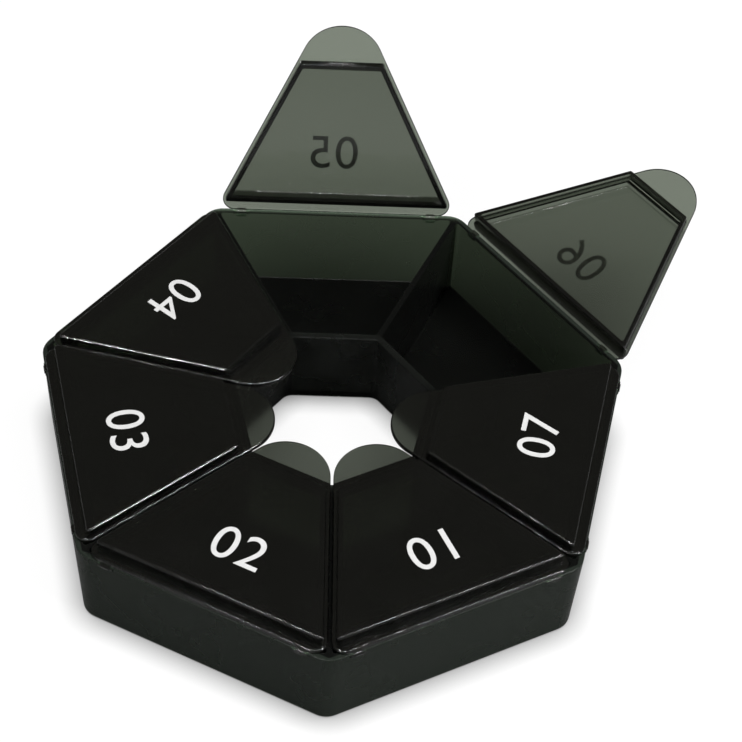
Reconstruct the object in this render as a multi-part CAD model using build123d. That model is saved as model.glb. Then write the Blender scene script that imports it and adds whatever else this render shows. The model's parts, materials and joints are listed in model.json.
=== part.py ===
from build123d import *
import os
from math import cos, radians, sin, tan

# Weekly pill box: a seven-sided tray of wells round an open middle, with a clip-on lid over each well.
# The tray stands on the XY plane, centred on the Z axis, with one corner towards -Y.
# Lengths are in millimetres and angles in degrees.

# Tray
side_count = 7
tray_reach = 58.0
tray_height = 19.4
tray_draft = 1.7
tray_corner_radius = 4.6
tray_foot_radius = 0.6
rim_edge_radius = 0.25
floor_thickness = 1.3
outer_wall = 1.4
inner_wall = 1.4
partition_wall = 1.1
well_corner_radius = 0.5
well_floor_radius = 0.4

# Open middle of the tray
middle_reach = 17.1
middle_flare = 1.4
middle_rim_corner_radius = 1.0
middle_foot_corner_radius = 2.8
middle_edge_radius = 0.25

# Lid flange, which lies on the rim, and its finger tab
flange_thickness = 0.8
flange_setback = 0.27
flange_gap = 0.5
flange_corner_radius = 2.4
flange_edge_radius = 0.3
tab_radius = 8.3

# Raised panel of the lid, the plug rim below it, and the spaces inside them
lid_wall = 0.9
lid_draft = 2.0
panel_rise = 2.65
panel_thickness = 1.2
panel_margin = 1.0
panel_hinge_margin = 1.88
panel_tab_margin = 1.15
panel_corner_radius = 0.7
panel_edge_radius = 0.4
plug_depth = 1.9
plug_clearance = 0.12
plug_tab_clearance = 0.3
plug_hinge_clearance = 1.4
plug_corner_radius = 0.5
plug_edge_radius = 0.2
space_step = 0.15
space_corner_radius = 0.35
space_edge_radius = 0.25

# Catch ridge on the plug rim, facing the tab
catch_length = 5.4
catch_radius = 0.45
catch_projection = 0.25
catch_drop = 1.0

# Clip-on hinge: two short bars under each flange, in grooves that are open to the outside of the wall
hinge_inset = 0.2
hinge_drop = 0.6
hinge_corner_distance = 5.3
hinge_pin_radius = 0.35
hinge_pin_fit = 0.04
hinge_pin_length = 0.7
hinge_knuckle_radius = 0.5
hinge_neck_width = 1.6
hinge_neck_back = 0.6
hinge_neck_front = 0.2
hinge_neck_drop = 0.2
hinge_clearance = 0.15

# How far each lid stands open, counted clockwise from the front right sector
lid_openings = [0.0, 0.0, 0.0, 0.0, 109.5, 166.5, 0.0]

# Length by which a cutting shape runs past the face that it cuts
overrun = 1.0

# Sizes that follow from the ones above
sector_angle = 360.0 / side_count
half_sector = radians(sector_angle / 2)
wall_reach = tray_reach * cos(half_sector)
hinge_reach = wall_reach - hinge_inset
hinge_height = tray_height - hinge_drop
well_inner = middle_reach + inner_wall
well_outer = wall_reach - outer_wall
well_depth = tray_height - floor_thickness
flange_margin = flange_gap / 2
flange_outer = wall_reach - flange_setback
tab_centre = (tab_radius + flange_margin) / sin(half_sector)
panel_inner = well_inner + panel_tab_margin
panel_outer = flange_outer - panel_hinge_margin
plug_inner = well_inner + plug_tab_clearance
plug_outer = well_outer - plug_hinge_clearance
plug_margin = partition_wall / 2 + plug_clearance
plug_space_inner = plug_inner + lid_wall
plug_space_outer = plug_outer - lid_wall
plug_space_margin = plug_margin + lid_wall
panel_space_inner = max(panel_inner + lid_wall, plug_space_inner + space_step)
panel_space_outer = min(panel_outer - lid_wall, plug_space_outer - space_step)
panel_space_margin = max(panel_margin + lid_wall, plug_space_margin + space_step)

up = Vector(0, 0, 1)
down = Vector(0, 0, -1)
rim_level = Pos(0, 0, tray_height)


def half_width(distance, margin):
    """Half the width of a sector at a distance from the centre, less a margin square to each side."""
    return distance * tan(half_sector) - margin / cos(half_sector)


def wedge(inner, outer, margin, corner_radius):
    """Outline of a sector along +Y between two distances, with rounded corners."""
    near = half_width(inner, margin)
    far = half_width(outer, margin)
    outline = Polygon((-near, inner), (near, inner), (far, outer), (-far, outer), align=None)
    return fillet(outline.vertices(), corner_radius)


def heptagon(corner_reach, corner_radius):
    """Rounded outline of the tray or its middle, with a corner towards -Y."""
    outline = RegularPolygon(corner_reach, side_count, rotation=-90)
    return fillet(outline.vertices(), corner_radius)


def hinge_places():
    """Where the two hinge bars of a lid are along its outer edge."""
    place = half_width(flange_outer, flange_margin) - hinge_corner_distance
    return [-place, place]


def in_sector(number):
    """Turn from the +Y sector to the sector of a lid, which are numbered clockwise from the front right."""
    return Rot(0, 0, (side_count - number + 1) * sector_angle + sector_angle / 2 - 180)


def tray_body():
    """Drafted seven-sided block with its open middle and rounded edges."""
    block = extrude(rim_level * heptagon(tray_reach, tray_corner_radius), tray_height, down, taper=tray_draft)
    middle_rim = heptagon(middle_reach / cos(half_sector), middle_rim_corner_radius)
    middle_foot = heptagon((middle_reach + middle_flare) / cos(half_sector), middle_foot_corner_radius)
    block -= loft([rim_level * middle_rim, middle_foot])
    foot = block.faces().sort_by(Axis.Z)[0]
    block = fillet(foot.edges(), tray_foot_radius)
    rim = block.faces().sort_by(Axis.Z)[-1]
    block = fillet(rim.outer_wire().edges(), rim_edge_radius)
    rim = block.faces().sort_by(Axis.Z)[-1]
    return fillet(rim.inner_wires()[0].edges(), middle_edge_radius)


def well():
    """Space of one well, drafted like the walls and rounded at its floor."""
    outline = wedge(well_inner, well_outer, partition_wall / 2, well_corner_radius)
    space = extrude(rim_level * outline, well_depth, down, taper=tray_draft)
    return fillet(space.faces().sort_by(Axis.Z)[0].edges(), well_floor_radius)


def hinge_seat(place):
    """Space in the wall for one hinge bar and for the knuckle and neck that swing on it."""
    bar_length = hinge_neck_width + 2 * (hinge_pin_length + hinge_clearance)
    groove = Cylinder(hinge_pin_radius + hinge_pin_fit, bar_length, rotation=(0, 90, 0))
    seat = Pos(place, hinge_reach, hinge_height) * groove
    back = hinge_neck_back + hinge_clearance
    front = hinge_inset + overrun
    below = hinge_knuckle_radius + hinge_clearance
    above = hinge_drop + overrun
    slot = Box(hinge_neck_width + 2 * hinge_clearance, back + front, below + above)
    return seat + Pos(place, hinge_reach + (front - back) / 2, hinge_height + (above - below) / 2) * slot


def tray():
    body = tray_body()
    spaces = [well()] + [hinge_seat(place) for place in hinge_places()]
    for number in range(1, side_count + 1):
        body -= [in_sector(number) * space for space in spaces]
    return body


def flange():
    """Thin plate on the rim, with parallel gaps to its neighbours and a round tab over the open middle."""
    root = (tab_radius * cos(half_sector), tab_centre - tab_radius * sin(half_sector))
    far = half_width(flange_outer, flange_margin)
    sides = Polyline(root, (far, flange_outer), (-far, flange_outer), (-root[0], root[1]))
    nose = ThreePointArc((-root[0], root[1]), (0, tab_centre - tab_radius), root)
    outline = make_face(sides.edges() + nose.edges())
    outline = fillet(outline.vertices().sort_by(Axis.Y)[-2:], flange_corner_radius)
    plate = extrude(rim_level * outline, flange_thickness)
    return fillet(plate.faces().sort_by(Axis.Z)[-1].edges(), flange_edge_radius)


def panel():
    """Raised top of the lid, drafted, with a soft upper edge."""
    outline = wedge(panel_inner, panel_outer, panel_margin, panel_corner_radius)
    raised = extrude(rim_level * outline, panel_rise, up, taper=lid_draft)
    return fillet(raised.faces().sort_by(Axis.Z)[-1].edges(), panel_edge_radius)


def plug():
    """Rim below the flange that drops into the well."""
    outline = wedge(plug_inner, plug_outer, plug_margin, plug_corner_radius)
    dropped = extrude(rim_level * outline, plug_depth, down, taper=lid_draft)
    return fillet(dropped.faces().sort_by(Axis.Z)[0].edges(), plug_edge_radius)


def plug_space():
    """Space inside the plug rim, from its open end to the flange."""
    outline = wedge(plug_space_inner, plug_space_outer, plug_space_margin, space_corner_radius)
    plug_end = Pos(0, 0, tray_height - plug_depth)
    return extrude(plug_end * outline, plug_depth, up, taper=lid_draft)


def panel_space():
    """Space inside the raised panel, above the one in the plug rim."""
    outline = wedge(panel_space_inner, panel_space_outer, panel_space_margin, space_corner_radius)
    space = extrude(rim_level * outline, panel_rise - panel_thickness, up, taper=lid_draft)
    return fillet(space.faces().sort_by(Axis.Z)[-1].edges(), space_edge_radius)


def catch():
    """Low ridge on the plug rim that holds the lid against the inner wall."""
    ridge = Cylinder(catch_radius, catch_length, rotation=(0, 90, 0))
    return Pos(0, plug_inner + catch_radius - catch_projection, tray_height - catch_drop) * ridge


def hinge_bar(place):
    """Short bar that clips into the wall, with a round knuckle on a neck that hangs from the flange."""
    bar = Cylinder(hinge_pin_radius, hinge_neck_width + 2 * hinge_pin_length, rotation=(0, 90, 0))
    knuckle = Cylinder(hinge_knuckle_radius, hinge_neck_width, rotation=(0, 90, 0))
    neck_top = hinge_drop + flange_thickness / 2
    neck = Box(hinge_neck_width, hinge_neck_back - hinge_neck_front, neck_top + hinge_neck_drop)
    neck = Pos(0, -(hinge_neck_back + hinge_neck_front) / 2, (neck_top - hinge_neck_drop) / 2) * neck
    return Pos(place, hinge_reach, hinge_height) * (bar + knuckle + neck)


def lid():
    """One closed lid in the +Y sector."""
    shell = flange() + panel() + plug() - plug_space() - panel_space()
    shell += catch()
    for place in hinge_places():
        shell += hinge_bar(place)
    return shell


def opened(closed_lid, angle):
    """Lid swung outwards about its hinge."""
    hinge = Pos(0, hinge_reach, hinge_height)
    return hinge * Rot(-angle, 0, 0) * hinge.inverse() * closed_lid


os.makedirs("parts", exist_ok=True)
export_step(tray(), "parts/tray.step")
closed_lid = lid()
for number, angle in enumerate(lid_openings, start=1):
    export_step(in_sector(number) * opened(closed_lid, angle), f"parts/lid_{number}.step")
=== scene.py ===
import json
import math
from collections import namedtuple

import bpy
from mathutils import Matrix, Vector


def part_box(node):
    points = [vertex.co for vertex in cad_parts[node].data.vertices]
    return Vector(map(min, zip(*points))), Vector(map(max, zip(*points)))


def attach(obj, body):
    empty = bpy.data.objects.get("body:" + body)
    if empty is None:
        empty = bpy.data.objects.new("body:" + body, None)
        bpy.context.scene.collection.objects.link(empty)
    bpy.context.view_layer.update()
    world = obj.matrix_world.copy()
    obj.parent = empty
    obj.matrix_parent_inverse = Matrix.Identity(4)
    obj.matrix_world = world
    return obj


# Weekly pill box: smoke-grey plastics, printed numerals, floor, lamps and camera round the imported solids.
# Lengths are in metres, and MM turns millimetres into them.
MM = 0.001

Finish = namedtuple(
    "Finish", "density roughness ior clear_share coat_share satin_share grain_share grain_scale",
)
Lamp = namedtuple("Lamp", "name place size power")

# Camera, solved from the tray's rim, foot and open middle in the photograph
camera_target_x = 8.18 * MM
camera_target_y = 25.90 * MM
camera_distance = 439.99 * MM
camera_elevation = math.radians(49.048)
camera_azimuth = math.radians(-3.2457)
camera_roll = math.radians(4.2983)
camera_lens = 104.045
camera_sensor = 36.0
camera_near = 10 * MM
camera_far = 20.0

# Numerals printed on the lids
numeral_prefix = "0"
numeral_height = 7.2 * MM
numeral_thickness = 0.03 * MM
numeral_gap = 0.01 * MM
numeral_reach = 39.4 * MM
numeral_shift = 0.8 * MM
numeral_spacing_share = 1.06
numeral_side = 1.0

# Smoke-grey plastic: the density dims light by the thickness it crosses
tray_finish = Finish(
    density=1900.0, roughness=(0.22, 0.30), ior=1.22, clear_share=0.9955, coat_share=0.0, satin_share=0.020,
    grain_share=1.0, grain_scale=2600.0,
)
lid_finish = Finish(
    density=1840.0, roughness=(0.14, 0.20), ior=1.49, clear_share=0.9985, coat_share=1.0, satin_share=0.0,
    grain_share=0.03, grain_scale=5000.0,
)
smoke_colour = (0.055, 0.092, 0.015, 1.0)
clear_colour = (0.94, 1.0, 0.92, 1.0)
coat_roughness = 0.04
grain_height = 0.02 * MM
smudge_scale = 90.0
noise_range_shares = (0.3, 0.7)

# Satin on the tray: outside its walls, from this far inside the hinge axes, and round the open middle
satin_inset = 0.75 * MM
satin_middle_reach = 18.45 * MM
satin_middle_share = 0.2
satin_colour = (0.79, 1.0, 0.80, 1.0)

# Dust: a speck in some cells of a cell pattern
dust_scale = 170.0
dust_size_share = 0.012
dust_cell_share = 0.25
dust_cover_share = 0.5
dust_colour = (0.5, 0.5, 0.46, 1.0)

# White print
print_scale = 900.0
print_shades = (0.93, 1.0)
print_roughness = (0.40, 0.50)
print_cover_share = 0.72
print_grain_share = 0.2

# Floor
floor_reach = 4.0
floor_drop = 0.05 * MM
floor_shade = 0.12
floor_white = 1.0
floor_roughness = 1.0
floor_glow = 0.92
# Painted shade: reflections see the floor's glow cut to this share, standing in for the floor's shade round
# the box
floor_mirror_shade_share = 0.15
near_shadow = 5 * MM
far_shadow = 35 * MM

# Light: a long strip overhead, and two small lamps for the bright lines along the lids' edges
lamps = (
    Lamp("strip_lamp", place=(0.13, 0.03, 0.80), size=(0.80, 0.08), power=4.5),
    Lamp("left_lamp", place=(-0.356, -0.617, 0.411), size=(0.10, 0.10), power=2.3),
    Lamp("right_lamp", place=(0.604, -0.378, 0.411), size=(0.12, 0.12), power=3.1),
)
world_colour = (1.0, 0.98, 0.84, 1.0)
world_strength = 0.075

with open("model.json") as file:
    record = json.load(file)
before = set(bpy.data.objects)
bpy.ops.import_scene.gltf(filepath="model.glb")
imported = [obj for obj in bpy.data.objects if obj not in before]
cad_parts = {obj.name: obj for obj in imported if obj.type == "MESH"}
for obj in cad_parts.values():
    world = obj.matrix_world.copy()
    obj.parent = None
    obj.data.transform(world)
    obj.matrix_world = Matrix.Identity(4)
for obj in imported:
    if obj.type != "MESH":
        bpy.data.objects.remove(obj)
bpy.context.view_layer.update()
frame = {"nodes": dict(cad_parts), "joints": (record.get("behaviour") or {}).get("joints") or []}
joints = frame["joints"]
lids = sorted(joint["child"] for joint in joints)
# The first lid is shut at rest, so its top is the level of the print.
panel_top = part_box(lids[0])[1][2]
hinge_reach = math.hypot(joints[0]["pos_m"][0], joints[0]["pos_m"][1])
upwards = Vector((0, 0, 1))
matrix_size = 4
opaque = 1.0


def grey(shade):
    """Opaque grey of a shade."""
    return shade, shade, shade, opaque


# Camera, tilted and rolled about its target on the floor
def place_camera():
    back = Vector((
        math.sin(camera_azimuth) * math.cos(camera_elevation),
        -math.cos(camera_azimuth) * math.cos(camera_elevation),
        math.sin(camera_elevation),
    ))
    level = Vector((math.cos(camera_azimuth), math.sin(camera_azimuth), 0))
    upright = back.cross(level)
    right = math.cos(camera_roll) * level + math.sin(camera_roll) * upright
    up = math.cos(camera_roll) * upright - math.sin(camera_roll) * level
    data = bpy.data.cameras.new("camera")
    data.lens = camera_lens
    data.sensor_width = camera_sensor
    data.clip_start = camera_near
    data.clip_end = camera_far
    camera = bpy.data.objects.new("camera", data)
    bpy.context.collection.objects.link(camera)
    target = Vector((camera_target_x, camera_target_y, 0))
    turn = Matrix((right, up, back)).transposed().to_4x4()
    camera.matrix_world = Matrix.Translation(target + camera_distance * back) @ turn
    bpy.context.scene.camera = camera


class Shader:
    """A new material's nodes, with short forms for those that recur."""

    def __init__(self, name):
        self.material = bpy.data.materials.new(name)
        self.material.use_nodes = True
        self.tree = self.material.node_tree
        self.surface = self.tree.nodes["Principled BSDF"]

    def add(self, kind):
        return self.tree.nodes.new(kind)

    def place(self):
        return self.add("ShaderNodeTexCoord").outputs["Object"]

    def feed(self, value, socket):
        """Links a node's output to a socket, or sets a constant on it."""
        if isinstance(value, bpy.types.NodeSocket):
            self.tree.links.new(value, socket)
        else:
            socket.default_value = value

    def math(self, operation, first, second):
        node = self.add("ShaderNodeMath")
        node.operation = operation
        self.feed(first, node.inputs[0])
        self.feed(second, node.inputs[1])
        return node.outputs["Value"]

    def mix(self, share, first, second):
        node = self.add("ShaderNodeMix")
        node.data_type = "RGBA"
        self.feed(share, node.inputs["Factor"])
        self.feed(first, node.inputs["A"])
        self.feed(second, node.inputs["B"])
        return node.outputs["Result"]

    def noise(self, place, scale):
        node = self.add("ShaderNodeTexNoise")
        self.feed(place, node.inputs["Vector"])
        self.feed(scale, node.inputs["Scale"])
        return node.outputs["Fac"]

    def spread(self, value, limits):
        """Stretches a noise between two limits."""
        node = self.add("ShaderNodeMapRange")
        self.feed(value, node.inputs["Value"])
        self.feed(noise_range_shares[0], node.inputs["From Min"])
        self.feed(noise_range_shares[1], node.inputs["From Max"])
        self.feed(limits[0], node.inputs["To Min"])
        self.feed(limits[1], node.inputs["To Max"])
        return node.outputs["Result"]

    def grain(self, place, scale, share):
        """Fine bumps over the whole surface."""
        node = self.add("ShaderNodeBump")
        self.feed(share, node.inputs["Strength"])
        self.feed(grain_height, node.inputs["Distance"])
        self.feed(self.noise(place, scale), node.inputs["Height"])
        self.feed(node.outputs["Normal"], self.surface.inputs["Normal"])


def dust(shader, place):
    """1 on a speck of dust, 0 elsewhere."""
    cells = shader.add("ShaderNodeTexVoronoi")
    shader.feed(place, cells.inputs["Vector"])
    shader.feed(dust_scale, cells.inputs["Scale"])
    parts = shader.add("ShaderNodeSeparateColor")
    shader.feed(cells.outputs["Color"], parts.inputs["Color"])
    near = shader.math("LESS_THAN", cells.outputs["Distance"], dust_size_share)
    chosen = shader.math("LESS_THAN", parts.outputs["Red"], dust_cell_share)
    return shader.math("MULTIPLY", near, chosen)


def satin_walls(shader, place):
    """1 on the tray's outside, less round its open middle, 0 between: each hinge axis runs along a wall."""
    reach = 0.0
    for joint in joints:
        axis = joint["axis"]
        along = shader.add("ShaderNodeVectorMath")
        along.operation = "DOT_PRODUCT"
        shader.feed(place, along.inputs[0])
        shader.feed((axis[1], -axis[0], 0), along.inputs[1])
        reach = shader.math("MAXIMUM", reach, along.outputs["Value"])
    outside = shader.math("GREATER_THAN", reach, hinge_reach - satin_inset)
    middle = shader.math("LESS_THAN", reach, satin_middle_reach)
    return shader.math("ADD", outside, shader.math("MULTIPLY", middle, satin_middle_share))


# Smoke-grey plastic with smudges, grain and dust, and satin where the finish has it
def smoke_plastic(name, finish):
    shader = Shader(name)
    surface = shader.surface
    place = shader.place()
    specks = dust(shader, place)
    tint = clear_colour
    cover = shader.math("MULTIPLY", specks, dust_cover_share)
    if finish.satin_share:
        walls = satin_walls(shader, place)
        tint = shader.mix(walls, clear_colour, satin_colour)
        cover = shader.math("ADD", cover, shader.math("MULTIPLY", walls, finish.satin_share))
    shader.feed(shader.mix(specks, tint, dust_colour), surface.inputs["Base Color"])
    shader.feed(shader.math("SUBTRACT", finish.clear_share, cover), surface.inputs["Transmission Weight"])
    smudges = shader.noise(place, smudge_scale)
    shader.feed(shader.spread(smudges, finish.roughness), surface.inputs["Roughness"])
    shader.feed(finish.ior, surface.inputs["IOR"])
    shader.feed(finish.coat_share, surface.inputs["Coat Weight"])
    shader.feed(coat_roughness, surface.inputs["Coat Roughness"])
    shader.grain(place, finish.grain_scale, finish.grain_share)
    smoke = shader.add("ShaderNodeVolumeAbsorption")
    shader.feed(smoke_colour, smoke.inputs["Color"])
    shader.feed(finish.density, smoke.inputs["Density"])
    shader.feed(smoke.outputs["Volume"], shader.tree.nodes["Material Output"].inputs["Volume"])
    return shader.material


# White print, thin enough for some light to show through
def white_print():
    shader = Shader("white_print")
    surface = shader.surface
    place = shader.place()
    blots = shader.noise(place, print_scale)
    shade = shader.spread(blots, print_shades)
    white = shader.add("ShaderNodeCombineColor")
    for channel in ("Red", "Green", "Blue"):
        shader.feed(shade, white.inputs[channel])
    shader.feed(white.outputs["Color"], surface.inputs["Base Color"])
    shader.feed(shader.spread(blots, print_roughness), surface.inputs["Roughness"])
    shader.feed(print_cover_share, surface.inputs["Alpha"])
    shader.grain(place, print_scale, print_grain_share)
    return shader.material


def assign(node, material):
    slots = frame["nodes"][node].data.materials
    slots.clear()
    slots.append(material)


# Numerals, printed on the panels with their tops towards the tabs
def numeral_mesh(text):
    """Flat mesh of a text, centred, at the numerals' height."""
    curve = bpy.data.curves.new("numeral", "FONT")
    curve.body = text
    curve.space_character = numeral_spacing_share
    shape = bpy.data.objects.new("numeral", curve)
    mesh = bpy.data.meshes.new_from_object(shape)
    bpy.data.objects.remove(shape)
    sides = list(zip(*(vertex.co for vertex in mesh.vertices)))
    low = Vector(min(side) for side in sides)
    high = Vector(max(side) for side in sides)
    scale = Matrix.Scale(numeral_height / (high.y - low.y), matrix_size)
    mesh.transform(scale @ Matrix.Translation(-(low + high) / 2))
    return mesh


def numeral(joint, material):
    """Numeral of one lid, set on the shut lid and swung with it to where it stands at rest."""
    lid = joint["child"]
    axis = Vector(joint["axis"])
    outward = axis.cross(upwards)
    turn = Matrix((axis, -outward, upwards)).transposed().to_4x4()
    centre = outward * numeral_reach + axis * numeral_shift + upwards * (panel_top + numeral_gap)
    pivot = Matrix.Translation(joint["pos_m"])
    swing = Matrix.Rotation(-math.radians(joint["range_deg"][0]), matrix_size, axis)
    mesh = numeral_mesh(numeral_prefix + lid[-1])
    mesh.transform(pivot @ swing @ pivot.inverted() @ Matrix.Translation(centre) @ turn)
    mesh.materials.append(material)
    piece = bpy.data.objects.new(f"{lid}_numeral", mesh)
    bpy.context.collection.objects.link(piece)
    ink = piece.modifiers.new("ink", "SOLIDIFY")
    ink.thickness = numeral_thickness
    ink.offset = numeral_side
    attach(piece, lid)


# Floor: white to the camera and through the plastic, with a painted shadow where the box keeps light away,
# and dimmer in reflections as painted shade
def floor_material():
    shader = Shader("floor")
    surface = shader.surface
    shader.feed(grey(floor_shade), surface.inputs["Base Color"])
    shader.feed(floor_roughness, surface.inputs["Roughness"])
    shader.feed(0.0, surface.inputs["Specular IOR Level"])
    shader.feed(grey(floor_white), surface.inputs["Emission Color"])
    shadows = []
    for distance in (near_shadow, far_shadow):
        shadow = shader.add("ShaderNodeAmbientOcclusion")
        shader.feed(distance, shadow.inputs["Distance"])
        shadows.append(shadow.outputs["AO"])
    path = shader.add("ShaderNodeLightPath").outputs
    # Painted shade in reflections: glossy rays see the floor dimmed
    shaded_mirror = shader.math("MULTIPLY", path["Is Glossy Ray"], floor_mirror_shade_share)
    indirect = shader.math("MAXIMUM", path["Is Transmission Ray"], shaded_mirror)
    direct = shader.math("MULTIPLY", path["Is Camera Ray"], shadows[0])
    seen = shader.math("MAXIMUM", direct, shader.math("MULTIPLY", indirect, shadows[1]))
    shader.feed(shader.math("MULTIPLY", seen, floor_glow), surface.inputs["Emission Strength"])
    return shader.material


def make_floor():
    low = -floor_reach
    high = floor_reach
    corners = [(low, low, 0), (high, low, 0), (high, high, 0), (low, high, 0)]
    mesh = bpy.data.meshes.new("floor")
    mesh.from_pydata(corners, [], [range(len(corners))])
    mesh.materials.append(floor_material())
    floor = bpy.data.objects.new("floor", mesh)
    floor.location.z = -floor_drop
    bpy.context.collection.objects.link(floor)


# Light from the lamps and the world
def make_lamp(lamp):
    """Rectangular lamp that faces the middle of the box."""
    data = bpy.data.lights.new(lamp.name, "AREA")
    data.shape = "RECTANGLE"
    data.size, data.size_y = lamp.size
    data.energy = lamp.power
    light = bpy.data.objects.new(lamp.name, data)
    light.location = lamp.place
    light.rotation_euler = upwards.rotation_difference(Vector(lamp.place)).to_euler()
    bpy.context.collection.objects.link(light)


def make_world():
    world = bpy.data.worlds.new("studio")
    world.use_nodes = True
    light = world.node_tree.nodes["Background"]
    light.inputs["Color"].default_value = world_colour
    light.inputs["Strength"].default_value = world_strength
    bpy.context.scene.world = world


# Assembly of the scene
assign("tray", smoke_plastic("tray_plastic", tray_finish))
lid_plastic = smoke_plastic("lid_plastic", lid_finish)
ink_white = white_print()
for lid in lids:
    assign(lid, lid_plastic)
for joint in joints:
    numeral(joint, ink_white)
make_floor()
for lamp in lamps:
    make_lamp(lamp)
make_world()
place_camera()
bpy.context.scene.view_settings.view_transform = "Standard"
